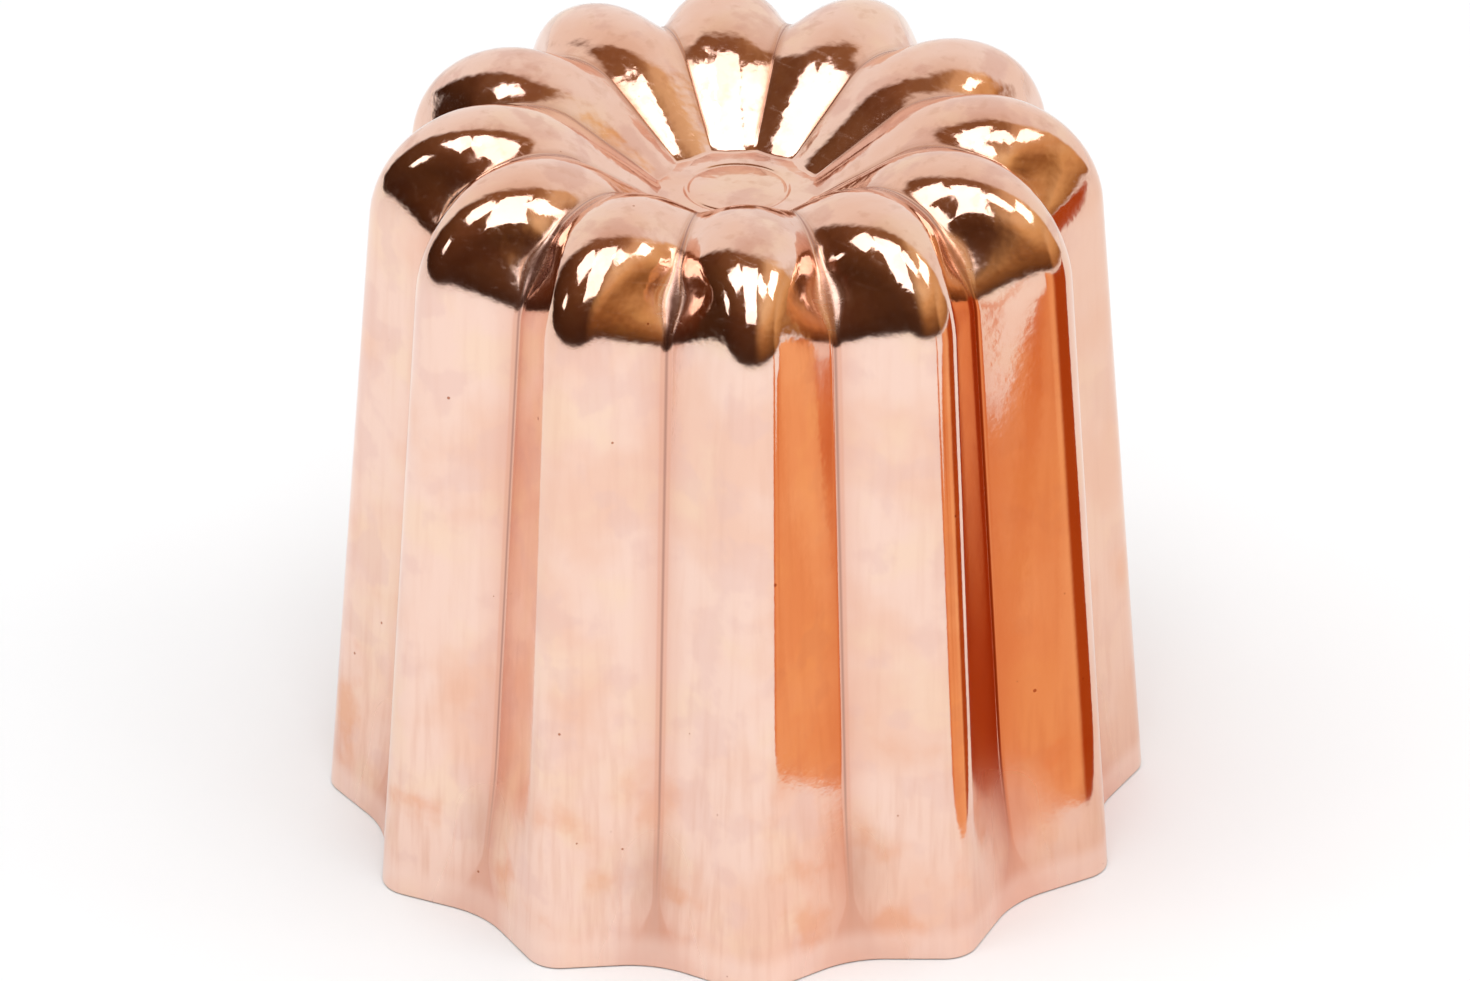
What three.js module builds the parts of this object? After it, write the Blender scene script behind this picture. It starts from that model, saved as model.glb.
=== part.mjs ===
// A fluted copper baking mould, standing mouth down on its rim, with a tin lining inside.
// Millimetres, +Z up. The origin is the centre of the mouth, on the surface that the rim stands on.
import * as THREE from 'three';

const { clamp, degToRad, lerp, smoothstep } = THREE.MathUtils;

// Overall sizes of the copper shell, taken over the flute crests
const fluteCount = 12;
const mouthRadius = 27.5;
const height = 50.5;
const wallTaper = degToRad(4.7);
const shoulderRadius = 8;
const rollRadius = 9.8;
const innerSlope = degToRad(37.7);
const discRadius = 5;

// Sheet and lining
const wallThickness = 1;
const bondGap = 0.05;
const tinThickness = 0.2;
const liningSetBack = 0.4;

// Flutes: how deep the grooves are, and the rounding of crests and grooves, from the rim to the slope inside
const fluteHalfAngle = Math.PI / fluteCount;
const rimFlute = { depth: 3.3, crest: 2.4, groove: 7.25 };
const wallFlute = { depth: 4.05, crest: 2.5, groove: 0.9 };
const slopeFlute = { depth: 0.36, crest: 6, groove: 0.35 };
const discScallop = 0.12;

// Where one kind of flute turns into the next: heights on the wall, and shares of the way over the dome
const rimBlendHeight = 5;
const rimDepthHeight = 12;
const runOutBend = 1.8;
const lobeStart = 0.16;
const lobeEnd = 0.95;
const valleyStart = 0.16;
const valleyEnd = 0.62;
const valleyWidening = 1;

// Largest roundings, as shares of what the depth and width of a flute leave room for
const fullestCrest = 0.85;
const fullestGroove = 0.95;

// Ring engraved in the centre disc
const ringRadius = 3.3;
const ringWidth = 0.5;
const ringDepth = 0.15;
const discEdgeWidth = 0.5;

// Fineness of the mesh
const rimSteps = 3;
const shoulderSteps = 6;
const rollSteps = 3;
const slopeSteps = 3;
const columnsPerFlute = 8;

// The crest line: the shoulder's arc touches the wall, and the roll's arc takes over at the top of the petals
const shoulderHeight = height - shoulderRadius;
const wallTopHeight = shoulderHeight + shoulderRadius * Math.sin(wallTaper);
const petalTopRadius =
  mouthRadius - (shoulderRadius + shoulderHeight * Math.sin(wallTaper)) / Math.cos(wallTaper);
const rollEndRadius = petalTopRadius - rollRadius * Math.sin(innerSlope);
const rollEndHeight = height - rollRadius * (1 - Math.cos(innerSlope));
const discHeight = rollEndHeight - (rollEndRadius - discRadius) * Math.tan(innerSlope);

// A station is a point on the crest line, the way its surface faces, and the flute that it has there.
// A little above the rim its soft wave turns into the gables of the wall.
function wallStation(z) {
  const gable = smoothstep(z, 0, rimBlendHeight);
  return {
    radius: mouthRadius - z * Math.tan(wallTaper),
    z,
    facing: (wallTaper * z) / wallTopHeight,
    stretch: 1,
    flute: {
      depth: lerp(rimFlute.depth, wallFlute.depth, smoothstep(z, 0, rimDepthHeight)),
      crest: lerp(rimFlute.crest, wallFlute.crest, gable),
      groove: lerp(rimFlute.groove, wallFlute.groove, gable),
    },
  };
}

// Over the dome the crests round out to petals, and the grooves widen between them, then run out.
function domeStation(facing) {
  const past = facing > Math.PI / 2;
  const bend = past ? rollRadius : shoulderRadius;
  const share = (facing - wallTaper) / (Math.PI / 2 + innerSlope - wallTaper);
  const runOut = (1 - Math.cos(Math.PI * share ** runOutBend)) / 2;
  const valley = clamp((share - valleyStart) / (valleyEnd - valleyStart), 0, 1);
  const widening = valleyWidening * Math.sin(Math.PI * valley) ** 2;
  return {
    radius: petalTopRadius + bend * Math.cos(facing),
    z: height - bend * (1 - Math.sin(facing)),
    facing,
    stretch: 1,
    flute: {
      depth: lerp(wallFlute.depth, slopeFlute.depth, runOut),
      crest: lerp(wallFlute.crest, slopeFlute.crest, smoothstep(share, lobeStart, lobeEnd)),
      groove: lerp(wallFlute.groove, slopeFlute.groove, share) + widening,
    },
  };
}

function slopeStation(share) {
  return {
    radius: lerp(rollEndRadius, discRadius, share),
    z: lerp(rollEndHeight, discHeight, share),
    facing: Math.PI / 2 + innerSlope,
    stretch: 1,
    flute: { ...slopeFlute, depth: lerp(slopeFlute.depth, discScallop, share) },
  };
}

// The disc's edge is a mitre between the slope and the flat disc.
function discEdgeStation() {
  return {
    ...slopeStation(1),
    facing: Math.PI / 2 + innerSlope / 2,
    stretch: 1 / Math.cos(innerSlope / 2),
  };
}

function steps(count, from, to, make) {
  const list = [];
  for (let step = 1; step <= count; step += 1) {
    list.push(make(lerp(from, to, step / count)));
  }
  return list;
}

// From the rim to the disc. The second station is where the lining ends, so both pieces share their rows.
function crestLine() {
  return [
    wallStation(0),
    wallStation(liningSetBack),
    ...steps(rimSteps, liningSetBack, rimBlendHeight, wallStation),
    wallStation(rimDepthHeight),
    wallStation(wallTopHeight),
    ...steps(shoulderSteps, wallTaper, Math.PI / 2, domeStation),
    ...steps(rollSteps, Math.PI / 2, Math.PI / 2 + innerSlope, domeStation),
    ...steps(slopeSteps - 1, 0, 1 - 1 / slopeSteps, slopeStation),
    discEdgeStation(),
  ];
}

// Half a flute in a plain section across the crest line, from crest to groove: an arc, a straight flank and
// an arc. Points are (across, height above the crest line). A surface that lies deeper in the sheet by the
// inset has a tighter crest and a wider groove, so the sheet keeps its thickness.
function halfFlute(station, inset) {
  const { depth } = station.flute;
  const lean = Math.cos(station.facing) * station.stretch;
  const tilt = Math.atan(lean * Math.tan(fluteHalfAngle));
  const outward = new THREE.Vector2(Math.sin(tilt), Math.cos(tilt));
  const bottom = new THREE.Vector2((station.radius - depth * lean) * Math.tan(fluteHalfAngle), -depth);
  const crest = Math.min(station.flute.crest, (fullestCrest * bottom.lengthSq()) / (2 * depth));
  const crestCentre = new THREE.Vector2(0, -crest);
  const span = bottom.clone().sub(crestCentre);
  const room = 2 * (crest - span.dot(outward));
  const fullest = room > 0 ? (span.lengthSq() - crest ** 2) / room : Infinity;
  const groove = Math.min(station.flute.groove, fullestGroove * fullest);
  const grooveCentre = bottom.clone().addScaledVector(outward, groove);
  const reach = grooveCentre.clone().sub(crestCentre);
  const flank = Math.asin((crest + groove) / reach.length()) - Math.atan2(reach.y, reach.x);
  const onArc = (centre, radius, turn) => ({
    across: centre.x + radius * Math.sin(turn),
    height: centre.y + radius * Math.cos(turn),
  });
  const onCrest = (turn) => onArc(crestCentre, crest - inset, turn);
  const onGroove = (turn) => onArc(grooveCentre, -groove - inset, turn);
  return [onCrest(0), onCrest(flank / 2), onCrest(flank), onGroove(flank), onGroove(tilt)];
}

// One closed row of points around the axis, from the groove at the left of the first flute
function flutedRow(station, inset) {
  const half = halfFlute(station, inset);
  const middle = columnsPerFlute / 2;
  const row = [];
  for (let column = 0; column <= fluteCount * columnsPerFlute; column += 1) {
    const flute = Math.floor(column / columnsPerFlute);
    const place = (column % columnsPerFlute) - middle;
    const point = half[Math.abs(place)];
    const across = Math.sign(place) * point.across;
    const outward = point.height * station.stretch;
    const radius = station.radius + outward * Math.cos(station.facing);
    const z = station.z + outward * Math.sin(station.facing);
    const turn = 2 * fluteHalfAngle * flute - Math.PI / 2;
    const x = radius * Math.cos(turn) - across * Math.sin(turn);
    const y = radius * Math.sin(turn) + across * Math.cos(turn);
    row.push(new THREE.Vector3(x, y, z));
  }
  return row;
}

// A plain row on the flat disc, with the same columns as the disc's edge
function discRow(radius, z) {
  return flutedRow(discEdgeStation(), 0).map((point) => {
    const turn = Math.atan2(point.y, point.x);
    return new THREE.Vector3(radius * Math.cos(turn), radius * Math.sin(turn), z);
  });
}

// A LatheGeometry has the closed grid of a turned skin. Its rings are then set to the fluted rows.
function turnedSkin(rows) {
  const outline = rows.map((row) => new THREE.Vector2(Math.hypot(row[0].x, row[0].y), row[0].z));
  const geometry = new THREE.LatheGeometry(outline, fluteCount * columnsPerFlute);
  const position = geometry.getAttribute('position');
  rows.forEach((row, along) => {
    row.forEach((point, column) => {
      position.setXYZ(column * rows.length + along, point.x, point.y, point.z);
    });
  });
  return geometry;
}

// Cuts each square of the grid along its other diagonal.
function swapDiagonals(geometry) {
  const index = geometry.getIndex();
  const cornersPerSquare = 6;
  for (let first = 0; first < index.count; first += cornersPerSquare) {
    const [a, b, d, c] = [0, 1, 2, 3].map((corner) => index.getX(first + corner));
    [a, b, c, a, c, d].forEach((corner, place) => index.setX(first + place, corner));
  }
  return geometry;
}

// The inner face runs from the axis down to the edge, and the outer face from the edge up to the axis.
function skinRows(line, outerInset, innerInset, outerDisc) {
  const inner = line.map((station) => flutedRow(station, innerInset));
  const outer = line.map((station) => flutedRow(station, outerInset));
  const innerDisc = discRow(0, discHeight - innerInset);
  return [innerDisc, ...inner.reverse(), ...outer, ...outerDisc];
}

function copperShell() {
  const top = discHeight;
  const disc = [
    discRow(discRadius - discEdgeWidth, top),
    discRow(ringRadius + ringWidth / 2, top),
    discRow(ringRadius, top - ringDepth),
    discRow(ringRadius - ringWidth / 2, top),
    discRow(0, top),
  ];
  return turnedSkin(skinRows(crestLine(), 0, wallThickness, disc));
}

// The lining faces the shell with the squares cut the same way, so their facets lie parallel.
function tinLining() {
  const outerInset = wallThickness + bondGap;
  const line = crestLine().slice(1);
  const disc = [discRow(0, discHeight - outerInset)];
  return swapDiagonals(turnedSkin(skinRows(line, outerInset, outerInset + tinThickness, disc)));
}

function piece(name, geometry, finish) {
  geometry.computeVertexNormals();
  const mesh = new THREE.Mesh(geometry, new THREE.MeshStandardMaterial(finish));
  mesh.name = name;
  return mesh;
}

const mould = new THREE.Group();
mould.add(piece('copper_shell', copperShell(), { color: '#d98e6a', roughness: 0.2, metalness: 1 }));
mould.add(piece('tin_lining', tinLining(), { color: '#b9b6ad', roughness: 0.45, metalness: 1 }));

export default mould;
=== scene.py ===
# %% [markdown]
# # A fluted copper mould for small cakes
# The real mould is one cup of thin copper sheet, pressed into twelve flutes and tinned inside. It stands
# mouth down on its cut rim. The flutes run up the wall, turn over the shoulder as twelve petals, and roll
# down to a small flat disc in the middle. This lesson loads the measured model as a fixed frame, draws one
# flute from a rule, repeats it with Geometry Nodes, and then spends its time on the two metals and on what
# they reflect.

# %% Load the measured frame
import math
from typing import NamedTuple

import bpy
import numpy as np
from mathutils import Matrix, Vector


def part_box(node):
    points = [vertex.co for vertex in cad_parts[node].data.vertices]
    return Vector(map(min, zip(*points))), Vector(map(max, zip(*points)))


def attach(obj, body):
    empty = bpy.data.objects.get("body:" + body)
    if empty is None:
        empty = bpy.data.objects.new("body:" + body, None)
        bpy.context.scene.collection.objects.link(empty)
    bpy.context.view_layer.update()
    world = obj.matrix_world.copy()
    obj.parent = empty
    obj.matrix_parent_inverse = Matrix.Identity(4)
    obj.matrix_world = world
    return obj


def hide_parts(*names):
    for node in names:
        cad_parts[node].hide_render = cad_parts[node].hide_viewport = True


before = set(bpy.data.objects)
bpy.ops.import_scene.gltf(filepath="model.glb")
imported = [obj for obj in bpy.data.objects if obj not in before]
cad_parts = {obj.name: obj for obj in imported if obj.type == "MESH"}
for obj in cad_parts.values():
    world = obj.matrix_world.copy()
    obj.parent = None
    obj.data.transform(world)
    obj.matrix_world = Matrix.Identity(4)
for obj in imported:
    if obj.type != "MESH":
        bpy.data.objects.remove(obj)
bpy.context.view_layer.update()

BODY = "mould"

# %% [markdown]
# ## The sizes
# Sizes are in millimetres, as on a drawing, and the mesh maker turns them to metres. The mouth and the
# height come from the frame, so a new size of mould carries through. The rest are the drawing's own.

# %% Sizes of the sheet
MM = 0.001

mouth_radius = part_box("copper_shell")[1].x / MM
mould_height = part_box("copper_shell")[1].z / MM

flute_count = 12
part_angle = math.pi / flute_count
wall_taper = math.radians(4.7)
shoulder_radius = 8
roll_radius = 9.8
inner_slope = math.radians(37.7)
disc_radius = 5
print("mouth", round(2 * mouth_radius, 2), "mm across, height", round(mould_height, 2), "mm")

# %% [markdown]
# ## The flute's rule
# Across the wall each flute is like a low gable: a rounded crest, two flat flanks and a tight groove. At
# the rim it opens to a soft wave. Over the dome the crest rounds out to a petal, and the groove widens and
# then runs out towards the disc. Three numbers say all that at any height: the depth of the groove, and the
# rounding of the crest and of the groove. So we keep them in a small tuple, and blend from one to the next
# along the crest line. Drawing this by hand would take many loops of vertices.

# %% How deep and how round the flutes are
class Flute(NamedTuple):
    depth: float
    crest: float
    groove: float


rim_flute = Flute(depth=3.3, crest=2.4, groove=7.25)
wall_flute = Flute(depth=4.05, crest=2.5, groove=0.9)
slope_flute = Flute(depth=0.36, crest=6, groove=0.35)
disc_scallop = 0.12
rim_blend_height = 5
rim_depth_height = 12
run_out_bend = 1.8
lobe_start = 0.16
lobe_end = 0.95
valley_start = 0.16
valley_end = 0.62
valley_widening = 1


def ease(share):
    share = min(max(share, 0), 1)
    return share * share * (3 - 2 * share)


def between(first, last, share):
    return first + (last - first) * share


print("grooves", rim_flute.depth, "mm deep at the rim and", wall_flute.depth, "mm on the wall")

# %% [markdown]
# ## The crest line
# The crest line is the outline that you would see from the side: a straight tapered wall, a round shoulder
# up to the petal tops, a wider roll inwards, a straight slope, and a small round foot on the disc. The arcs
# touch the straight stretches, and that gives the heights and radii where each begins and ends.

# %% Where the crest line bends
shoulder_height = mould_height - shoulder_radius
wall_top = shoulder_height + shoulder_radius * math.sin(wall_taper)
taper_inset = (shoulder_radius + shoulder_height * math.sin(wall_taper)) / math.cos(wall_taper)
petal_top_radius = mouth_radius - taper_inset
roll_end_radius = petal_top_radius - roll_radius * math.sin(inner_slope)
roll_end_height = mould_height - roll_radius * (1 - math.cos(inner_slope))
disc_height = roll_end_height - (roll_end_radius - disc_radius) * math.tan(inner_slope)
foot_radius = 0.6
foot_end_radius = disc_radius - foot_radius * math.tan(inner_slope / 2)
foot_start_radius = foot_end_radius + foot_radius * math.sin(inner_slope)
print("wall top at", round(wall_top, 2), "mm, disc at", round(disc_height, 2), "mm")
print("petal tops at radius", round(petal_top_radius, 2), "mm")

# %% [markdown]
# ## Stations
# A station is a point on the crest line, with the way the sheet faces there and the flute that it has. Each
# stretch has its own function, because the wall goes by height, the dome and the foot by the way they face,
# and the slope by radius.

# %% Stations on each stretch
least_depth = 0.005


class Station(NamedTuple):
    radius: float
    z: float
    facing: float
    flute: Flute


def wall_station(z):
    rounding = ease(z / rim_blend_height)
    flute = Flute(
        depth=between(rim_flute.depth, wall_flute.depth, ease(z / rim_depth_height)),
        crest=between(rim_flute.crest, wall_flute.crest, rounding),
        groove=between(rim_flute.groove, wall_flute.groove, rounding),
    )
    return Station(mouth_radius - z * math.tan(wall_taper), z, wall_taper * z / wall_top, flute)


def dome_station(facing):
    bend = roll_radius if facing > math.pi / 2 else shoulder_radius
    radius = petal_top_radius + bend * math.cos(facing)
    share = (facing - wall_taper) / (math.pi / 2 + inner_slope - wall_taper)
    run_out = 0.5 - 0.5 * math.cos(math.pi * share ** run_out_bend)
    lobe = ease((share - lobe_start) / (lobe_end - lobe_start))
    valley = min(max((share - valley_start) / (valley_end - valley_start), 0), 1)
    widening = valley_widening * math.sin(math.pi * valley) ** 2
    flute = Flute(
        depth=between(wall_flute.depth, slope_flute.depth, run_out),
        crest=between(wall_flute.crest, slope_flute.crest, lobe),
        groove=between(wall_flute.groove, slope_flute.groove, share) + widening,
    )
    return Station(radius, mould_height - bend * (1 - math.sin(facing)), facing, flute)


def slope_station(radius):
    z = disc_height + (radius - disc_radius) * math.tan(inner_slope)
    share = (roll_end_radius - radius) / (roll_end_radius - disc_radius)
    flute = slope_flute._replace(depth=between(slope_flute.depth, disc_scallop, share))
    return Station(radius, z, math.pi / 2 + inner_slope, flute)


def foot_station(facing):
    share = (facing - math.pi / 2) / inner_slope
    radius = foot_end_radius - foot_radius * math.cos(facing)
    z = disc_height + foot_radius * (1 - math.sin(facing))
    return Station(radius, z, facing, slope_flute._replace(depth=max(disc_scallop * share, least_depth)))


print("at the rim the crests are at radius", round(wall_station(0).radius, 2), "mm")

# %% [markdown]
# ## From the rim to the disc
# The stretches follow each other, with most rows where the sheet bends most. A fineness under 1 thins them
# out for a face that is hardly seen.

# %% All stations in order
def crest_line(start, fineness):
    upright = math.pi / 2
    sloping = upright + inner_slope
    line = [wall_station(start)]
    for rows, first, last, station in (
        (12, start, rim_blend_height, wall_station),
        (8, rim_blend_height, rim_depth_height, wall_station),
        (6, rim_depth_height, wall_top, wall_station),
        (34, wall_taper, upright, dome_station),
        (18, upright, sloping, dome_station),
        (12, roll_end_radius, foot_start_radius, slope_station),
        (6, sloping, upright, foot_station),
    ):
        places = np.linspace(first, last, round(rows * fineness) + 1)[1:]
        line.extend(station(place) for place in places)
    return line


print("the crest line has", len(crest_line(0, 1)), "stations")

# %% [markdown]
# ## Half a flute
# In a plain section across the crest line, half a flute is an arc, a straight flank and an arc. Neither arc
# may be rounder than the flute has room for. A surface that lies deeper in the sheet by an inset has a
# tighter crest and a wider groove, so the sheet keeps its thickness.

# %% From crest to groove
crest_columns = 6
flank_columns = 5
groove_columns = 5
fullest_crest = 0.85
fullest_groove = 0.95
least_room = 1e-6


def half_flute(station, inset):
    depth, crest, groove = station.flute
    lean = math.cos(station.facing)
    tilt = math.atan(lean * math.tan(part_angle))
    outward = np.array([math.sin(tilt), math.cos(tilt)])
    bottom = np.array([(station.radius - depth * lean) * math.tan(part_angle), -depth])
    crest = min(crest, fullest_crest * (bottom @ bottom) / (2 * depth))
    crest_centre = np.array([0, -crest])
    span = bottom - crest_centre
    room = max(2 * (crest - span @ outward), least_room)
    groove = min(groove, fullest_groove * (span @ span - crest ** 2) / room)
    groove_centre = bottom + groove * outward
    across, rise = groove_centre - crest_centre
    flank = math.asin((crest + groove) / math.hypot(across, rise)) - math.atan2(rise, across)
    crest_turn = np.linspace(0, flank, crest_columns + 1)
    groove_turn = np.linspace(flank, tilt, groove_columns + 1)
    crest_out = np.column_stack([np.sin(crest_turn), np.cos(crest_turn)])
    groove_out = np.column_stack([np.sin(groove_turn), np.cos(groove_turn)])
    on_crest = crest_centre + (crest - inset) * crest_out
    in_groove = groove_centre - (groove + inset) * groove_out
    on_flank = np.linspace(on_crest[-1], in_groove[0], flank_columns + 1)[1:-1]
    return np.concatenate([on_crest, on_flank, in_groove])


rim_section = half_flute(wall_station(0), 0)
print("half a flute is", round(rim_section[-1, 0], 2), "mm wide at the rim")

# %% [markdown]
# ## Rows across a flute
# A row of points crosses one flute, from its left groove over the crest to its right groove. Rows one after
# another, down the inside, round the cut edge and up the outside, make a strip that needs only turning
# about the axis to close. On the flat disc the rows are plain arcs.

# %% A row of points
def fluted_row(station, inset):
    half = half_flute(station, inset)
    across, height = np.concatenate([half[:0:-1] * (-1, 1), half]).T
    radius = station.radius + height * math.cos(station.facing)
    z = station.z + height * math.sin(station.facing)
    return np.column_stack([across, -radius, z])


def disc_row(radius, z):
    edge = fluted_row(foot_station(math.pi / 2), 0)
    angle = np.arctan2(edge[:, 0], -edge[:, 1])
    return np.column_stack([radius * np.sin(angle), -radius * np.cos(angle), np.full(len(angle), z)])


print("a flute is", len(fluted_row(wall_station(0), 0)), "points across")

# %% [markdown]
# ## From rows to a mesh
# Two numbers go along with each point for the materials: how far along the crest line it lies, and where it
# is between crest and groove. Marks that follow the sheet, such as the tarnish and painted shade in the
# grooves, read them later.

# %% The strip's mesh
def strip_mesh(name, rows):
    points = np.stack(rows)
    middle = points[:, points.shape[1] // 2]
    lengths = np.linalg.norm(np.diff(middle, axis=0), axis=1)
    along = np.concatenate([[0], np.cumsum(lengths)])
    lowest = along[np.argmin(middle[:, 2])]
    across = np.abs(np.linspace(-1, 1, points.shape[1]))
    row_count, column_count = points.shape[:2]
    numbers = np.arange(row_count * column_count).reshape(row_count, column_count)
    corners = [numbers[:-1, :-1], numbers[:-1, 1:], numbers[1:, 1:], numbers[1:, :-1]]
    faces = np.stack([corner.ravel() for corner in corners], axis=1)
    mesh = bpy.data.meshes.new(name)
    mesh.from_pydata((points.reshape(-1, 3) * MM).tolist(), [], faces.tolist())
    for label, values in (
        ("along", np.repeat((along - lowest) * MM, column_count)),
        ("across", np.tile(across, row_count)),
    ):
        attribute = mesh.attributes.new(label, "FLOAT", "POINT")
        attribute.data.foreach_set("value", values.astype(np.float32))
    print(name, "has", row_count, "rows of", column_count, "points")
    return mesh


# %% [markdown]
# ## Turning the flute about the axis
# A Geometry Nodes tree places one strip for each flute around the axis, makes the copies real, and joins
# them where they meet. An Array modifier could repeat the strip as well, but here the count, the dents and
# the metal are all inputs. One small function adds each node with its settings and links.

# %% A helper for nodes, and the copies
def add_node(tree, kind, settings=None, inputs=None):
    node = tree.nodes.new(kind)
    for name, value in (settings or {}).items():
        setattr(node, name, value)
    for name, value in (inputs or {}).items():
        if isinstance(value, bpy.types.NodeSocket):
            tree.links.new(value, node.inputs[name])
        else:
            node.inputs[name].default_value = value
    return node


join_distance = 0.002
around = bpy.data.node_groups.new("flutes_around_axis", "GeometryNodeTree")
around.interface.new_socket("Geometry", in_out="OUTPUT", socket_type="NodeSocketGeometry")
for socket_name, socket_type in (
    ("Strip", "NodeSocketGeometry"),
    ("Flutes", "NodeSocketInt"),
    ("Dent depth", "NodeSocketFloat"),
    ("Dent size", "NodeSocketFloat"),
    ("Dent seed", "NodeSocketFloat"),
    ("Slope dents", "NodeSocketFloat"),
    ("Metal", "NodeSocketMaterial"),
):
    around.interface.new_socket(socket_name, in_out="INPUT", socket_type=socket_type)

given = add_node(around, "NodeGroupInput").outputs
points = add_node(around, "GeometryNodePoints", inputs={"Count": given["Flutes"]})
number = add_node(around, "GeometryNodeInputIndex")
part_turn = add_node(around, "ShaderNodeMath", {"operation": "DIVIDE"}, {0: 2 * math.pi, 1: given["Flutes"]})
angle = add_node(around, "ShaderNodeMath", {"operation": "MULTIPLY"}, {
    0: number.outputs[0],
    1: part_turn.outputs[0],
})
about_axis = add_node(around, "ShaderNodeCombineXYZ", inputs={"Z": angle.outputs[0]})
rotation = add_node(around, "FunctionNodeEulerToRotation", inputs={"Euler": about_axis.outputs[0]})
copies = add_node(around, "GeometryNodeInstanceOnPoints", inputs={
    "Points": points.outputs[0],
    "Instance": given["Strip"],
    "Rotation": rotation.outputs[0],
})
real = add_node(around, "GeometryNodeRealizeInstances", inputs={"Geometry": copies.outputs[0]})
joined = add_node(around, "GeometryNodeMergeByDistance", inputs={
    "Geometry": real.outputs[0],
    "Distance": join_distance * MM,
})
print("the tree's sockets are", ", ".join(socket.name for socket in around.interface.items_tree))

# %% [markdown]
# ## Dents
# Pressed sheet is never quite even, so the same tree pushes it in with a smooth noise: by a few hundredths
# of a millimetre, and by a little more on the slope down to the disc. That is too little to see in the
# outline, but it makes the reflections waver as they do on real copper. A Displace modifier with a vertex
# group could do it too, but the tree can measure the radius by itself.

# %% Push the sheet in
dents_per_metre = add_node(around, "ShaderNodeMath", {"operation": "DIVIDE"}, {0: 1, 1: given["Dent size"]})
where = add_node(around, "GeometryNodeInputPosition")
dents = add_node(around, "ShaderNodeTexNoise", {"noise_dimensions": "4D"}, {
    "Vector": where.outputs[0],
    "W": given["Dent seed"],
    "Scale": dents_per_metre.outputs[0],
    "Detail": 2,
})
level = add_node(around, "ShaderNodeVectorMath", {"operation": "MULTIPLY"}, {
    0: where.outputs[0],
    1: (1, 1, 0),
})
from_axis = add_node(around, "ShaderNodeVectorMath", {"operation": "LENGTH"}, {0: level.outputs[0]})
depth_here = add_node(around, "ShaderNodeMapRange", {"interpolation_type": "SMOOTHSTEP"}, {
    "Value": from_axis.outputs["Value"],
    "From Min": petal_top_radius * MM,
    "From Max": roll_end_radius * MM,
    "To Min": given["Dent depth"],
    "To Max": given["Slope dents"],
})
push = add_node(around, "ShaderNodeMath", {"operation": "MULTIPLY"}, {
    0: dents.outputs[0],
    1: depth_here.outputs[0],
})
inwards = add_node(around, "ShaderNodeMath", {"operation": "MULTIPLY"}, {0: push.outputs[0], 1: -1})
normal = add_node(around, "GeometryNodeInputNormal")
offset = add_node(around, "ShaderNodeVectorMath", {"operation": "SCALE"}, {
    0: normal.outputs[0],
    "Scale": inwards.outputs[0],
})
dented = add_node(around, "GeometryNodeSetPosition", inputs={
    "Geometry": joined.outputs[0],
    "Offset": offset.outputs[0],
})
print("dents deepen from radius", round(petal_top_radius, 2), "to", round(roll_end_radius, 2), "mm")

# %% [markdown]
# ## From the tree to a plain mesh
# The tree ends by shading the sheet smooth and giving it its metal. A function hangs the tree on a strip,
# sets its inputs, and keeps the result as a plain mesh, because a piece on the frame carries no tree.

# %% The end of the tree, and its use
smooth = add_node(around, "GeometryNodeSetShadeSmooth", inputs={"Geometry": dented.outputs[0]})
finished = add_node(around, "GeometryNodeSetMaterial", inputs={
    "Geometry": smooth.outputs[0],
    "Material": given["Metal"],
})
add_node(around, "NodeGroupOutput", inputs={"Geometry": finished.outputs[0]})
print("the tree has", len(around.nodes), "nodes")

dent_size = 4.5
dent_seed = 3.1


def turned_piece(name, strip, metal, dent_depth, slope_dents):
    piece = bpy.data.objects.new(name, strip)
    bpy.context.scene.collection.objects.link(piece)
    modifier = piece.modifiers.new("flutes around the axis", "NODES")
    modifier.node_group = around
    wanted = {
        "Flutes": flute_count,
        "Dent depth": dent_depth * MM,
        "Dent size": dent_size * MM,
        "Dent seed": dent_seed,
        "Slope dents": slope_dents * MM,
        "Metal": metal,
    }
    for socket in around.interface.items_tree:
        if socket.name in wanted:
            modifier[socket.identifier] = wanted[socket.name]
    depsgraph = bpy.context.evaluated_depsgraph_get()
    plain = bpy.data.meshes.new_from_object(piece.evaluated_get(depsgraph), depsgraph=depsgraph)
    piece.modifiers.remove(modifier)
    piece.data = plain
    plain.name = name
    print(name, "has", sum(len(face.vertices) - 2 for face in plain.polygons), "triangles")
    return piece


# %% [markdown]
# ## Colours
# Hex colours are what a colour picker shows, in sRGB. Blender's sockets want linear light, so one function
# converts.

# %% From hex to linear
def linear(hex_colour):
    values = [int(hex_colour[place:place + 2], 16) / 255 for place in (1, 3, 5)]
    lit = [v / 12.92 if v <= 0.04045 else ((v + 0.055) / 1.055) ** 2.4 for v in values]
    return (*lit, 1)


print("middle grey is", round(linear("#808080")[0], 3), "in linear light")

# %% [markdown]
# ## Polished copper
# The shell is bare copper sheet, pressed and then polished by hand, with a little tarnish. Copper is a
# metal, so it shows hardly any colour of its own: it tints what it reflects. A picture of copper could be
# wrapped round it, but would stretch over the flutes, so the marks are patterns in space. The wall was
# rubbed up and down and the dome this way and that, so some of them are drawn out long. One direction
# follows the grooves: it reads how far across the flute a point lies, and only a little of its place.

# %% Directions of the marks
copper = bpy.data.materials.new("polished_copper_sheet")
copper.use_nodes = True
tree = copper.node_tree
place = add_node(tree, "ShaderNodeTexCoord").outputs["Object"]
along = add_node(tree, "ShaderNodeAttribute", {"attribute_name": "along"}).outputs["Fac"]
across = add_node(tree, "ShaderNodeAttribute", {"attribute_name": "across"}).outputs["Fac"]

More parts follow.
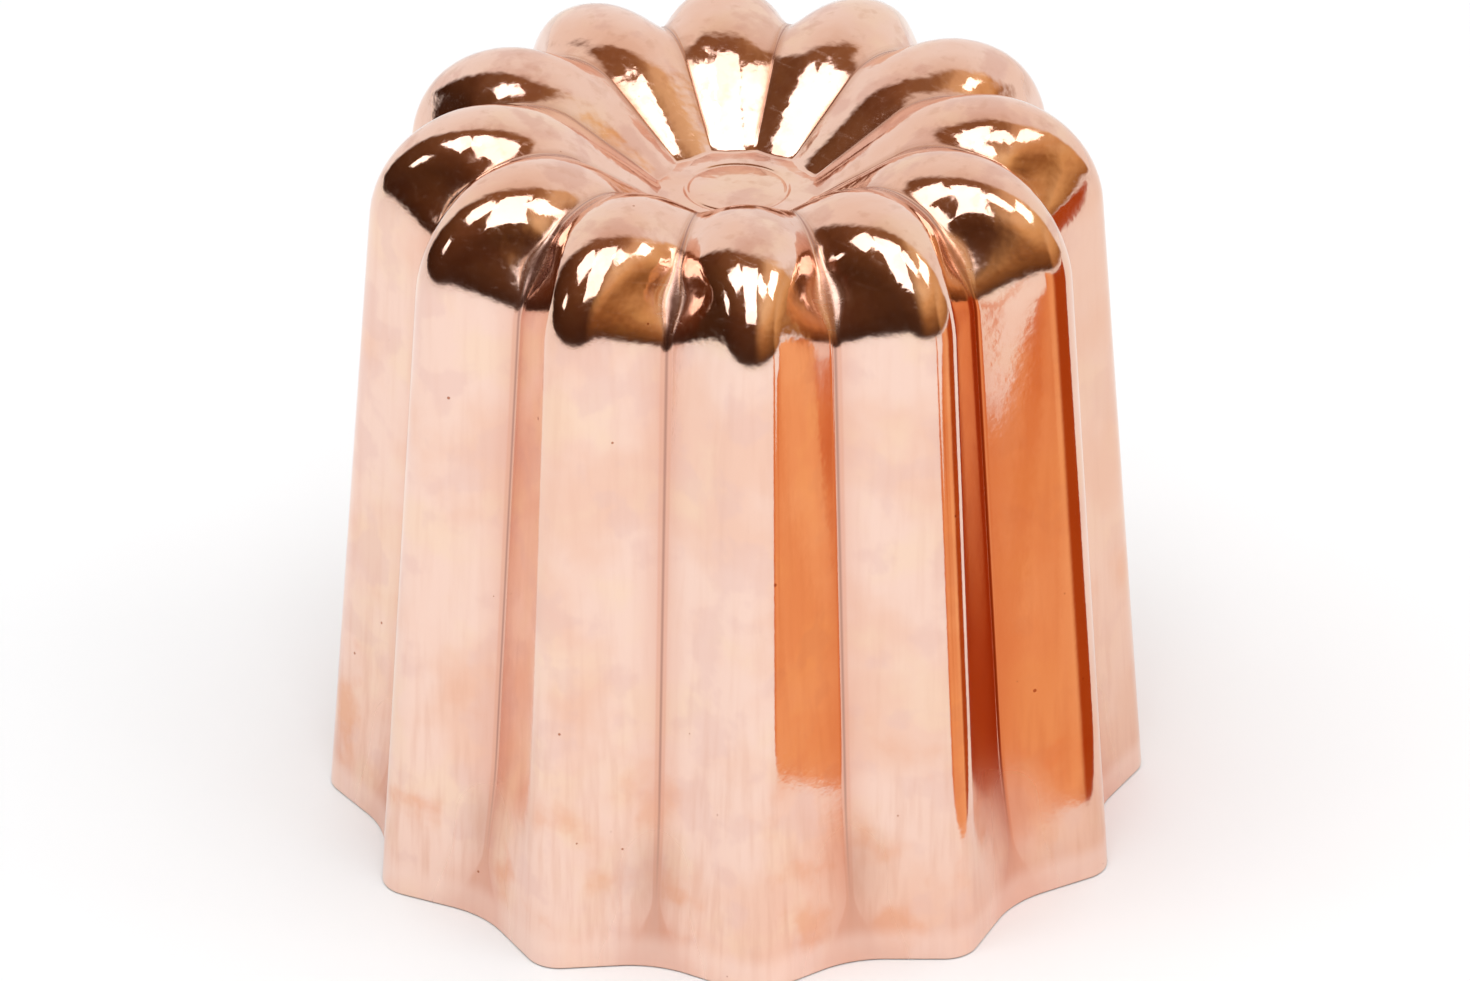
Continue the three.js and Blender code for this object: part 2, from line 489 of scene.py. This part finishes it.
half_flute_width = 6
share_of_place = 0.1
sideways = add_node(tree, "ShaderNodeVectorMath", {"operation": "SCALE"}, {
    0: (half_flute_width * MM, 0, 0),
    "Scale": across,
})
in_grooves = add_node(tree, "ShaderNodeVectorMath", {"operation": "MULTIPLY_ADD"}, {
    0: place,
    1: (share_of_place, share_of_place, share_of_place),
    2: sideways.outputs[0],
})
grain = {"even": place, "in_grooves": in_grooves.outputs[0]}
for name, turn, length in (
    ("up_the_wall", (0, 0, 0), (1, 1, 17)),
    ("one_way", (0.5, 0.3, 0.4), (20, 1, 1)),
    ("other_way", (0, 0.1, -0.7), (20, 1, 1)),
):
    drawn_out = add_node(tree, "ShaderNodeMapping", {"vector_type": "TEXTURE"}, {
        "Vector": place,
        "Rotation": turn,
        "Scale": length,
    })
    grain[name] = drawn_out.outputs[0]
print("marks run", ", ".join(grain))

# %% [markdown]
# ## Noises on the copper
# Each mark starts as a noise of a real size in millimetres, from blotches as wide as a petal down to
# scratches a third of a millimetre wide. Real scratches are finer, but finer ones would not show.

# %% Patterns on the copper
pattern = {}
for name, direction, size, detail in (
    ("blotches", "even", 9, 4),
    ("cream", "even", 5.3, 4),
    ("bloom", "even", 3.7, 5),
    ("patches", "even", 4.6, 6),
    ("spots", "even", 1.2, 7),
    ("ripple", "even", 0.6, 3),
    ("waviness", "even", 1.8, 2),
    ("haze", "even", 0.5, 5),
    ("groove_stripes", "in_grooves", 0.5, 3),
    ("rubbing", "up_the_wall", 0.6, 4),
    ("scratches", "one_way", 0.3, 1),
    ("cross_scratches", "other_way", 0.36, 1),
):
    texture = add_node(tree, "ShaderNodeTexNoise", inputs={
        "Vector": grain[direction],
        "Scale": 1 / (size * MM),
        "Detail": detail,
    })
    pattern[name] = texture.outputs[0]
print("copper patterns", ", ".join(pattern))

# %% [markdown]
# ## Where each mark lies
# A mask is 1 where a mark lies and 0 elsewhere, with a soft edge between. Some masks are stretches of the
# crest line or strips along the grooves, read from the numbers that the mesh carries, and one is the
# mould's right side. The others keep the high places of a noise.

# %% Masks on the copper
to_the_right = add_node(tree, "ShaderNodeSeparateXYZ", inputs={0: place}).outputs["X"]

mask = {}
for name, value, zero_at, one_at in (
    ("wall", along, 48 * MM, 45 * MM),
    ("dome", along, 45 * MM, 48 * MM),
    ("low_wall", along, 26 * MM, 4 * MM),
    ("rim", along, 3.6 * MM, 2.2 * MM),
    ("flare", along, 14 * MM, 8 * MM),
    ("above_flare", along, 4 * MM, 15 * MM),
    ("cut_edge", along, 0.95 * MM, 0.7 * MM),
    ("slope", along, 58 * MM, 62 * MM),
    ("off_disc", along, 68 * MM, 66.5 * MM),
    ("right_side", to_the_right, 6 * MM, 25 * MM),
    ("groove", across, 0.56, 0.8),
    ("beside_groove", across, 0.38, 0.7),
    # Where a dark line is painted along the groove bottoms as shade.
    ("groove_line_painted_shade", across, 0.88, 1),
    ("blotches", pattern["blotches"], 0.42, 0.62),
    ("cream", pattern["cream"], 0.48, 0.66),
    ("bloom", pattern["bloom"], 0.52, 0.62),
    ("patches", pattern["patches"], 0.54, 0.7),
    ("spots", pattern["spots"], 0.54, 0.7),
    ("rubbing", pattern["rubbing"], 0.42, 0.76),
    ("haze", pattern["haze"], 0.4, 0.7),
    ("groove_stripes", pattern["groove_stripes"], 0.44, 0.6),
    ("scratches", pattern["scratches"], 0.62, 0.74),
    ("cross_scratches", pattern["cross_scratches"], 0.62, 0.74),
):
    soft_step = add_node(tree, "ShaderNodeMapRange", {"interpolation_type": "SMOOTHSTEP"}, {
        "Value": value,
        "From Min": zero_at,
        "From Max": one_at,
    })
    mask[name] = soft_step.outputs[0]
print("copper has", len(mask), "plain masks")

# %% [markdown]
# ## Masks of masks
# Two masks multiplied leave a mark only where both are: scratches only on the dome, or painted shade only in
# the grooves of the wall.

# %% Combine the masks
for name, first, second in (
    ("groove", "groove", "off_disc"),
    # The painted shade line stays off the disc and above the flare.
    ("groove_line_painted_shade", "groove_line_painted_shade", "off_disc"),
    ("groove_line_painted_shade", "groove_line_painted_shade", "above_flare"),
    # Painted shade in the grooves of the wall.
    ("wall_groove_painted_shade", "groove", "wall"),
    # The dome's grooves are tinted part as tarnish and part as painted reflection of the neighbouring
    # petals, and are duller.
    ("dome_groove", "groove", "dome"),
    # Slope grooves: part tarnish, part painted reflection of the neighbouring petals.
    ("slope_groove_tarnish_and_painted_reflection", "groove", "slope"),
    ("flared_groove", "beside_groove", "flare"),
    # The right side of the wall, where a deeper, warmer shade is painted.
    ("right_wall_painted_shade", "right_side", "wall"),
    ("wall_rubbing", "rubbing", "wall"),
    ("low_rubbing", "rubbing", "low_wall"),
    ("low_patches", "patches", "low_wall"),
    # Stripes in the dome's grooves: part tarnish, part painted reflection of the neighbouring petals.
    ("dome_stripes_tarnish_and_painted_reflection", "groove_stripes", "dome_groove"),
    ("dome_bloom", "bloom", "dome"),
    ("dome_haze", "haze", "dome"),
    ("dome_spots", "spots", "dome"),
    ("dome_scratches", "scratches", "dome"),
    ("dome_cross_scratches", "cross_scratches", "dome"),
):
    both = add_node(tree, "ShaderNodeMath", {"operation": "MULTIPLY"}, {0: mask[first], 1: mask[second]})
    mask[name] = both.outputs[0]
print("copper masks", ", ".join(mask))

# %% [markdown]
# ## Pits
# A few specks of dark corrosion have eaten into the polish. A Voronoi pattern gives each cell one middle,
# and the cell's own random value says how wide its pit is, as a share of the spacing. About half of the
# cells have none.

# %% Pits in the copper
pit_spacing = 1.9
widest_pit = 0.08
cells_without = 0.5
pit_cells = add_node(tree, "ShaderNodeTexVoronoi", inputs={"Vector": place, "Scale": 1 / (pit_spacing * MM)})
pit_size = add_node(tree, "ShaderNodeMapRange", inputs={
    "Value": pit_cells.outputs["Color"],
    "From Min": cells_without,
    "To Max": widest_pit,
})
pits = add_node(tree, "ShaderNodeMath", {"operation": "LESS_THAN"}, {
    0: pit_cells.outputs["Distance"],
    1: pit_size.outputs[0],
})
mask["pits"] = pits.outputs[0]
print("pits up to", round(2 * widest_pit * pit_spacing, 2), "mm across")

# %% [markdown]
# ## The copper's colour
# Clean copper is a pale pink metal. Tarnish lies on it in thin layers: warm and creamy blotches, brown lines
# and warm patches low on the wall where it was rubbed, and a bright rubbed rim. Painted shade lies on it
# too:
# a deeper tone on the right side, darker strips along the grooves of the wall, and a dark line along the
# groove bottoms. The grooves of the dome get darker tints that are part tarnish and part painted reflection
# of the neighbouring petals. Each layer is mixed over the ones below it by its mask and strength.

# %% Layers of tarnish and painted shade
copper_colour = linear("#F3D1C1")
for name, strength, tarnish in (
    ("blotches", 1, "#EFC5B0"),
    ("cream", 0.5, "#F4D4B8"),
    ("bloom", 0.4, "#E6BFB4"),
    # Painted shade: a deeper, warmer tone on the right side of the wall.
    ("right_wall_painted_shade", 0.45, "#E4B193"),
    ("wall_rubbing", 0.14, "#DDA58A"),
    ("low_rubbing", 0.3, "#DDA58A"),
    ("low_patches", 0.6, "#E6A27C"),
    ("dome_spots", 0.25, "#CB9678"),
    # Painted shade: darker strips in the grooves of the wall.
    ("wall_groove_painted_shade", 0.7, "#DDA189"),
    ("dome_bloom", 0.35, "#DBAA95"),
    # Grey in the dome's grooves: part tarnish, part painted reflection of the neighbouring petals.
    ("dome_groove", 0.25, "#A99490"),
    # Stripes in the dome's grooves: part tarnish, part painted reflection of the neighbouring petals.
    ("dome_stripes_tarnish_and_painted_reflection", 0.6, "#CE9168"),
    # Brown in the slope's grooves: part tarnish, part painted reflection of the neighbouring petals.
    ("slope_groove_tarnish_and_painted_reflection", 0.4, "#B9784F"),
    # Painted shade: a dark line along the bottom of each groove.
    ("groove_line_painted_shade", 0.7, "#A2766A"),
    ("rim", 0.5, "#F9DCCE"),
    ("pits", 0.8, "#A85C36"),
    ("cut_edge", 1, "#9C735A"),
):
    share = add_node(tree, "ShaderNodeMath", {"operation": "MULTIPLY"}, {0: mask[name], 1: strength})
    layer = add_node(tree, "ShaderNodeMix", {"data_type": "RGBA"}, {
        "Factor": share.outputs[0],
        6: copper_colour,
        7: linear(tarnish),
    })
    copper_colour = layer.outputs[2]
print("copper has", len(tree.nodes), "nodes so far")

# %% [markdown]
# ## Gloss and relief
# Polished copper is nearly a mirror. The wall is a little duller than the dome, most of all where the
# grooves flare out at the rim and a cloth hardly reaches. On the dome a thin haze, the grooves and fine
# scratches scatter more light. Pressing left the dome a little wavy, and a very low ripple, a few
# thousandths of a millimetre high, frays the edges of the reflections everywhere. Both are bumps, because
# they are far too low to show in the outline.

# %% Gloss and relief of the copper
roughness = 0.06
for name, dulling in (
    ("wall", 0.04),
    ("flared_groove", 0.28),
    ("dome_haze", 0.05),
    ("dome_groove", 0.16),
    ("dome_scratches", 0.08),
    ("dome_cross_scratches", 0.08),
):
    duller = add_node(tree, "ShaderNodeMath", {"operation": "MULTIPLY_ADD"}, {
        0: mask[name],
        1: dulling,
        2: roughness,
    })
    roughness = duller.outputs[0]

wave_height = 0.05
ripple_height = 0.006
dome_waves = add_node(tree, "ShaderNodeMath", {"operation": "MULTIPLY"}, {
    0: pattern["waviness"],
    1: mask["dome"],
})
wavy = add_node(tree, "ShaderNodeBump", inputs={
    "Distance": wave_height * MM,
    "Height": dome_waves.outputs[0],
})
relief = add_node(tree, "ShaderNodeBump", inputs={
    "Distance": ripple_height * MM,
    "Height": pattern["ripple"],
    "Normal": wavy.outputs[0],
})

copper_shader = tree.nodes["Principled BSDF"]
copper_shader.inputs["Metallic"].default_value = 1
tree.links.new(copper_colour, copper_shader.inputs["Base Color"])
tree.links.new(roughness, copper_shader.inputs["Roughness"])
tree.links.new(relief.outputs[0], copper_shader.inputs["Normal"])
print("copper has", len(tree.nodes), "nodes")

# %% [markdown]
# ## The copper shell
# The rim was sheared and then eased with a file, so its corners get a small rounding. The ring around the
# disc's centre is a shallow engraved groove. Both could be bevels and cuts on a finished mesh, but as rows
# of the strip they keep the mesh even.

# %% Rows of the rim and the ring
sheet_thickness = 1
edge_rounding = 0.16
edge_steps = 4
ring_radius = 3.3
ring_width = 0.5
ring_depth = 0.1
ring_steps = 10


def edge_rows(inset_here, towards):
    turns = np.linspace(0, math.pi / 2, edge_steps + 1)[1:-1]
    rows = []
    for quarter in turns:
        inset = inset_here + towards * edge_rounding * (1 - math.cos(quarter))
        rows.append(fluted_row(wall_station(edge_rounding * (1 - math.sin(quarter))), inset))
    return rows


def ring_rows():
    rows = []
    for side in np.linspace(1, -1, ring_steps + 1):
        z = disc_height - ring_depth * (0.5 + 0.5 * math.cos(math.pi * side))
        rows.append(disc_row(ring_radius + side * ring_width / 2, z))
    return rows


print("ring", 2 * ring_radius, "mm across and", ring_depth, "mm deep")

# %% [markdown]
# ## The shell's strip
# The rows run down the inner face, round the cut edge and up the outer face to the axis. The lining hides
# the inner face, so that has half as many rows.

# %% Build the shell
inner_fineness = 0.5
outer_fineness = 1
disc_border = 0.7
shell_dents = 0.03
shell_slope_dents = 0.09

inner_line = crest_line(edge_rounding, inner_fineness)
outer_line = crest_line(edge_rounding, outer_fineness)
inner_rows = [fluted_row(station, sheet_thickness) for station in inner_line]
outer_rows = [fluted_row(station, 0) for station in outer_line]
shell_rows = [
    disc_row(0, disc_height - sheet_thickness),
    *inner_rows[::-1],
    *edge_rows(sheet_thickness, -1),
    fluted_row(wall_station(0), sheet_thickness - edge_rounding),
    fluted_row(wall_station(0), edge_rounding),
    *edge_rows(0, 1)[::-1],
    *outer_rows,
    disc_row(disc_radius - disc_border, disc_height),
    *ring_rows(),
    disc_row(ring_radius / 2, disc_height),
    disc_row(0, disc_height),
]
shell_strip = strip_mesh("copper_shell_strip", shell_rows)
shell = turned_piece("copper_shell_visual", shell_strip, copper, shell_dents, shell_slope_dents)

# %% [markdown]
# ## Wiped tin
# Inside, the copper is coated with tin, melted on and wiped along the flutes with a pad while hot. It is a
# soft grey metal with a satin gloss, brighter where the wipe thinned it, and browned a little by baking.
# The wipe marks run up and down, so their noise is drawn out upwards and stays fine sideways.

# %% Patterns in the tin
tin = bpy.data.materials.new("hand_wiped_tin")
tin.use_nodes = True
tin_tree = tin.node_tree
tin_place = add_node(tin_tree, "ShaderNodeTexCoord").outputs["Object"]
wipe_length = 9
wiped = add_node(tin_tree, "ShaderNodeMapping", {"vector_type": "TEXTURE"}, {
    "Vector": tin_place,
    "Scale": (1, 1, wipe_length),
})

tin_pattern = {}
for name, vector, size in (
    ("wipe", wiped.outputs[0], 1.4),
    ("browning", tin_place, 7),
    ("grain", tin_place, 0.4),
):
    texture = add_node(tin_tree, "ShaderNodeTexNoise", inputs={
        "Vector": vector,
        "Scale": 1 / (size * MM),
        "Detail": 4,
    })
    tin_pattern[name] = texture.outputs[0]
print("tin patterns", ", ".join(tin_pattern))

# %% [markdown]
# ## The tin's colour and gloss
# Where the wipe thinned the tin it is paler and smoother, so one noise drives both. Browning lies over
# that, and a fine grain roughens the surface.

# %% Colour and gloss of the tin
wipe_begins = 0.36
wipe_ends = 0.66
tin_colour = linear("#BDB8AE")
for name, zero_at, one_at, strength, colour in (
    ("wipe", wipe_begins, wipe_ends, 1, "#D9D6CE"),
    ("browning", 0.46, 0.7, 0.45, "#A58A6C"),
):
    share = add_node(tin_tree, "ShaderNodeMapRange", {"interpolation_type": "SMOOTHSTEP"}, {
        "Value": tin_pattern[name],
        "From Min": zero_at,
        "From Max": one_at,
        "To Max": strength,
    })
    layer = add_node(tin_tree, "ShaderNodeMix", {"data_type": "RGBA"}, {
        "Factor": share.outputs[0],
        6: tin_colour,
        7: linear(colour),
    })
    tin_colour = layer.outputs[2]

thick_roughness = 0.44
thinned_roughness = 0.3
satin = add_node(tin_tree, "ShaderNodeMapRange", inputs={
    "Value": tin_pattern["wipe"],
    "From Min": wipe_begins,
    "From Max": wipe_ends,
    "To Min": thick_roughness,
    "To Max": thinned_roughness,
})
grain_height = 0.012
tin_relief = add_node(tin_tree, "ShaderNodeBump", inputs={
    "Distance": grain_height * MM,
    "Height": tin_pattern["grain"],
})
tin_shader = tin_tree.nodes["Principled BSDF"]
tin_shader.inputs["Metallic"].default_value = 1
tin_tree.links.new(tin_colour, tin_shader.inputs["Base Color"])
tin_tree.links.new(satin.outputs[0], tin_shader.inputs["Roughness"])
tin_tree.links.new(tin_relief.outputs[0], tin_shader.inputs["Normal"])
print("tin has", len(tin_tree.nodes), "nodes")

# %% [markdown]
# ## The lining
# The lining follows the inside of the shell, so it uses the same rule with a larger inset. It stops just
# short of the cut edge, at the height that the frame gives.

# %% Build the lining
lining_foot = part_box("tin_lining")[0].z / MM
bond_gap = 0.05
tin_thickness = 0.2
lining_outer = sheet_thickness + bond_gap
lining_fineness = 0.6
lining_dents = 0.02
lining_line = crest_line(lining_foot, lining_fineness)
lining_rows = [
    disc_row(0, disc_height - lining_outer - tin_thickness),
    *[fluted_row(station, lining_outer + tin_thickness) for station in lining_line][::-1],
    *[fluted_row(station, lining_outer) for station in lining_line],
    disc_row(0, disc_height - lining_outer),
]
lining_strip = strip_mesh("tin_lining_strip", lining_rows)
lining = turned_piece("tin_lining_visual", lining_strip, tin, lining_dents, lining_dents)

# %% [markdown]
# ## Riding on the frame
# Each piece moves with the one body of the mould and stands for its CAD node, which is hidden.

# %% Tie the pieces to the frame
for piece, node, slot in ((shell, "copper_shell", "copper"), (lining, "tin_lining", "tin")):
    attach(piece, BODY)
    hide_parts(node)
    print(piece.name, "rides on", BODY, "for", node)

# %% [markdown]
# ## The floor
# The mould stands on a white sheet of paper. The wall reflects it, and beyond its edge the shoulder
# reflects the darker room, so the sheet's size matters. It is in metres.

# %% A round white sheet
paper = bpy.data.materials.new("matt_white_paper")
paper.use_nodes = True
paper_shader = paper.node_tree.nodes["Principled BSDF"]
paper_shader.inputs["Base Color"].default_value = linear("#F9FAFB")
paper_shader.inputs["Roughness"].default_value = 0.9

paper_radius = 0.5
paper_sides = 128
turns = np.linspace(0, 2 * math.pi, paper_sides, endpoint=False)
paper_mesh = bpy.data.meshes.new("paper_floor")
paper_mesh.from_pydata(
    [(paper_radius * math.cos(t), paper_radius * math.sin(t), 0) for t in turns],
    [],
    [list(range(paper_sides))],
)
paper_mesh.materials.append(paper)
floor = bpy.data.objects.new("paper_floor", paper_mesh)
bpy.context.scene.collection.objects.link(floor)
print("paper floor", 2 * paper_radius, "m across")

# %% [markdown]
# ## Light
# A mirror-like metal shows its surroundings, so the light is mostly a choice of surroundings. The room is
# brown and dim on the left, warmer on the right up to a lit side wall, and behind the mould a pale sweep
# rises to the ceiling. Each is a ramp of colours by elevation, so no picture of a room is needed.

# %% Ramps of colour by elevation
world = bpy.data.worlds.new("studio_room")
bpy.context.scene.world = world
world.use_nodes = True
sky = world.node_tree
sky.nodes.clear()
outlook = add_node(sky, "ShaderNodeTexCoord").outputs["Generated"]
rise = add_node(sky, "ShaderNodeSeparateXYZ", inputs={0: outlook}).outputs["Z"]
rise_share = add_node(sky, "ShaderNodeMapRange", inputs={"Value": rise, "From Min": -1, "From Max": 1})

paper_edge = (-4, "#FCFAF8")
room = {}
for name, stops in (
    ("left", ((-2, "#3A2215"), (12, "#4C2E1B"), (36, "#623E25"), (55, "#7A5236"), (72, "#8C6040"))),
    (
        "right",
        (
            (-2, "#4E2E17"),
            (12, "#9C6B3C"),
            (26, "#DCAA70"),
            (42, "#F0CC9C"),
            (60, "#DAB388"),
            (72, "#A67A52"),
        ),
    ),
    ("side_wall", ((-2, "#A06E3E"), (10, "#DAA86E"), (30, "#E8C494"), (60, "#D8B288"))),
    ("sweep", ((10, "#FAF6F4"), (40, "#F9F2ED"), (56, "#F4E8E0"), (75, "#EAD6C8"))),
):
    ramp = add_node(sky, "ShaderNodeValToRGB", inputs={0: rise_share.outputs[0]})
    elements = ramp.color_ramp.elements
    for elevation, colour in (paper_edge, *stops):
        share = (math.sin(math.radians(elevation)) + 1) / 2
        elements.new(share).color = linear(colour)
    # A new ramp comes with a stop at either end, which are not wanted.
    elements.remove(elements[0])
    elements.remove(elements[-1])
    room[name] = ramp.outputs[0]
print("room has", ", ".join(room))

# %% [markdown]
# ## The room around the mould
# The parts of the room are laid over each other. Each begins and ends where the view's reach in some
# direction passes two values: 1 is straight that way, 0 is square to it. The camera and the paper get a
# plain pale backdrop, and only the metal shows the room.

# %% Lay the room together
surroundings = room["left"]
for name, towards, begins, ends in (
    ("right", (1, 0, 0), 0, 0.55),
    ("side_wall", (1, 0, 0), 0.86, 0.95),
    ("sweep", (0.17, 1, 0.25), 0.46, 0.58),
):
    reach = add_node(sky, "ShaderNodeVectorMath", {"operation": "DOT_PRODUCT"}, {0: outlook, 1: towards})
    share = add_node(sky, "ShaderNodeMapRange", {"interpolation_type": "SMOOTHSTEP"}, {
        "Value": reach.outputs["Value"],
        "From Min": begins,
        "From Max": ends,
    })
    overlay = add_node(sky, "ShaderNodeMix", {"data_type": "RGBA"}, {
        "Factor": share.outputs[0],
        6: surroundings,
        7: room[name],
    })
    surroundings = overlay.outputs[2]

mirrored = add_node(sky, "ShaderNodeBackground", inputs={"Color": surroundings})
backdrop = add_node(sky, "ShaderNodeBackground", inputs={"Color": linear("#DADADA")})
ray = add_node(sky, "ShaderNodeLightPath")
light = add_node(sky, "ShaderNodeMixShader", inputs={
    0: ray.outputs["Is Glossy Ray"],
    1: backdrop.outputs[0],
    2: mirrored.outputs[0],
})
add_node(sky, "ShaderNodeOutputWorld", inputs={"Surface": light.outputs[0]})
print("world has", len(sky.nodes), "nodes")

# %% [markdown]
# ## Soft boxes
# Soft boxes make the white patches on the petals: a large one above the front, a window on either side, and
# a panel high on either side. Each is given by its direction and by how many degrees it is wide and tall,
# seen from the mould, because that is what a curved mirror shows. Their distance is in metres.

# %% Hang the soft boxes
lamp_distance = 0.8
brightness = 2
lamp_target = np.array([0, 0, mould_height * MM])

for name, azimuth, elevation, wide, tall in (
    ("key_box", -4, 64, 30, 54),
    ("left_window", -78, 24, 9, 12),
    ("right_window", 82, 43, 22, 16),
    ("left_panel", -76, 61, 24, 26),
    ("right_panel", 54, 61, 14, 22),
):
    turn = math.radians(azimuth)
    lift = math.radians(elevation)
    lamp = bpy.data.lights.new(name, "AREA")
    lamp.shape = "RECTANGLE"
    lamp.size = 2 * lamp_distance * math.tan(math.radians(wide) / 2)
    lamp.size_y = 2 * lamp_distance * math.tan(math.radians(tall) / 2)
    lamp.energy = brightness * math.pi * lamp.size * lamp.size_y
    soft_box = bpy.data.objects.new(name, lamp)
    outwards = np.array([math.sin(turn) * math.cos(lift), -math.cos(turn) * math.cos(lift), math.sin(lift)])
    soft_box.location = lamp_target + lamp_distance * outwards
    soft_box.rotation_euler = (math.pi / 2 - lift, 0, turn)
    soft_box.visible_camera = False
    bpy.context.scene.collection.objects.link(soft_box)
    print(name, round(lamp.size, 3), "x", round(lamp.size_y, 3), "m")

# %% [markdown]
# ## A warm card
# Copper beside a warm thing turns deep orange, because it tints the warm light once more. So a curved card
# of a warm colour stands close to the right of the mould, out of the camera's sight. It is streaked up and
# down and darker at both ends. It glows by itself and is hidden from the camera and the paper, so that it
# shows only in the metal.

# %% The card's colour
warm_card = bpy.data.materials.new("warm_card")
warm_card.use_nodes = True
card_tree = warm_card.node_tree
card_tree.nodes.clear()
card_place = add_node(card_tree, "ShaderNodeTexCoord").outputs["Object"]
card_depth = add_node(card_tree, "ShaderNodeSeparateXYZ", inputs={0: card_place}).outputs["Y"]
streak_width = 6
streak_length = 14
upwards = add_node(card_tree, "ShaderNodeMapping", {"vector_type": "TEXTURE"}, {
    "Vector": card_place,
    "Scale": (1, 1, streak_length),
})
card_streaks = add_node(card_tree, "ShaderNodeTexNoise", inputs={
    "Vector": upwards.outputs[0],
    "Scale": 1 / (streak_width * MM),
    "Detail": 4,
})

card_colour = linear("#FFBE86")
for value, zero_at, one_at, colour in (
    (card_streaks.outputs[0], 0.68, 0.32, "#E07C38"),
    (card_depth, -42 * MM, -46 * MM, "#B4501C"),
    (card_depth, -23 * MM, -19 * MM, "#B4501C"),
):
    share = add_node(card_tree, "ShaderNodeMapRange", {"interpolation_type": "SMOOTHSTEP"}, {
        "Value": value,
        "From Min": zero_at,
        "From Max": one_at,
    })
    layer = add_node(card_tree, "ShaderNodeMix", {"data_type": "RGBA"}, {
        "Factor": share.outputs[0],
        6: card_colour,
        7: linear(colour),
    })
    card_colour = layer.outputs[2]
card_glow = add_node(card_tree, "ShaderNodeEmission", inputs={"Color": card_colour})
add_node(card_tree, "ShaderNodeOutputMaterial", inputs={"Surface": card_glow.outputs[0]})
print("card has", len(card_tree.nodes), "nodes")

# %% [markdown]
# ## The card's shape
# The card is a third of a round tube. A notch in its upper edge lets the white paper show in one flank of
# the wall.

# %% Stand the card
card_centre = (58.5, -30)
card_radius = 27
card_foot = 0.2
card_height = 43
card_sides = 48
card_begins = 90
card_ends = 210
notch_y = (-39.5, -38, -35.5, -34, -30, -29)
notch_z = (card_height, 31, 22, 30, 36, card_height)

turns = np.radians(np.linspace(card_begins, card_ends, card_sides + 1))
card_x = card_centre[0] + card_radius * np.cos(turns)
card_y = card_centre[1] + card_radius * np.sin(turns)
lower_edge = np.column_stack([card_x, card_y, np.full(len(turns), card_foot)])
upper_edge = np.column_stack([card_x, card_y, np.interp(card_y, notch_y, notch_z)])
above = len(turns)
card_faces = [(side, side + 1, side + 1 + above, side + above) for side in range(card_sides)]
card_mesh = bpy.data.meshes.new("warm_card")
card_mesh.from_pydata((np.concatenate([lower_edge, upper_edge]) * MM).tolist(), [], card_faces)
card_mesh.materials.append(warm_card)
card = bpy.data.objects.new("warm_card", card_mesh)
bpy.context.scene.collection.objects.link(card)
card.visible_camera = False
card.visible_diffuse = False
card.visible_shadow = False
print("warm card", card_height, "mm tall at", card_centre)

# %% [markdown]
# ## Camera
# The camera stands a little left of the front and looks down on the mould with a long lens, as measured
# from the picture's outline. Its reach and height are in metres. The focal length is in pixels of an image
# 1470 wide, so it is turned to the sensor's millimetres.

# %% Place the camera
image_width = 1470
focal_pixels = 8265
camera_turn = math.radians(-2.578)
camera_yaw = math.radians(0.015)
camera_reach = 0.47672
camera_height = 0.29426
camera_pitch = math.radians(29.744)

lens = bpy.data.cameras.new("camera")
lens.sensor_fit = "HORIZONTAL"
lens.sensor_width = 36
lens.lens = focal_pixels * lens.sensor_width / image_width
camera = bpy.data.objects.new("camera", lens)
camera.location = (
    camera_reach * math.sin(camera_turn),
    -camera_reach * math.cos(camera_turn),
    camera_height,
)
camera.rotation_euler = (math.pi / 2 - camera_pitch, 0, camera_turn + camera_yaw)
bpy.context.scene.collection.objects.link(camera)
bpy.context.scene.camera = camera
bpy.context.scene.view_settings.view_transform = "Standard"
print("lens", round(lens.lens, 1), "mm")
